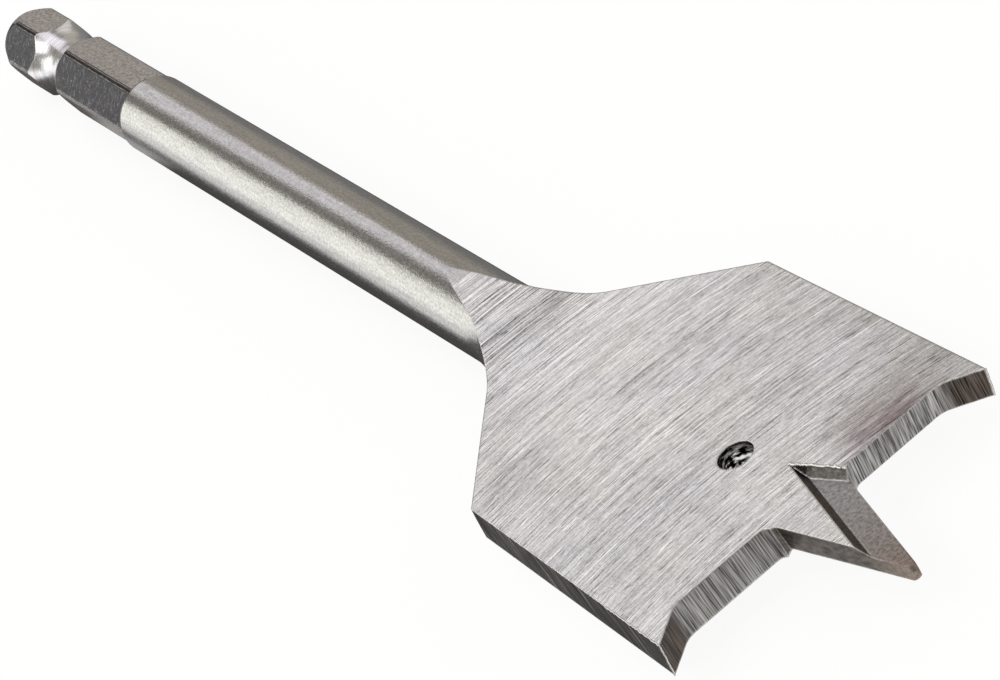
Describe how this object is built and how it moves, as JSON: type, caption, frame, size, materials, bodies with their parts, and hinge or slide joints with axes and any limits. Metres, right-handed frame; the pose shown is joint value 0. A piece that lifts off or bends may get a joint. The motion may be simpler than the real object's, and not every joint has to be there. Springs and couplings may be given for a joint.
{
  "type": "spade drill bit",
  "caption": "Flat-bladed wood-boring drill bit with a hexagonal shank, a round shaft, a long centre point, outlining spurs and a hole through the blade.",
  "frame": {"origin": "centre of the end face of the hexagonal shank, on the turning axis", "axes": "+X along the turning axis towards the point, +Y across the blade, +Z square to the blade's ground faces; the bit lies level on its shaft"},
  "size_m": [0.1509, 0.0318, 0.0072],
  "materials": {
    "steel": "ground blade faces, satin drawn shaft"
  },
  "bodies": {
    "root": {"spade_bit": "steel"}
  },
  "joints": []
}
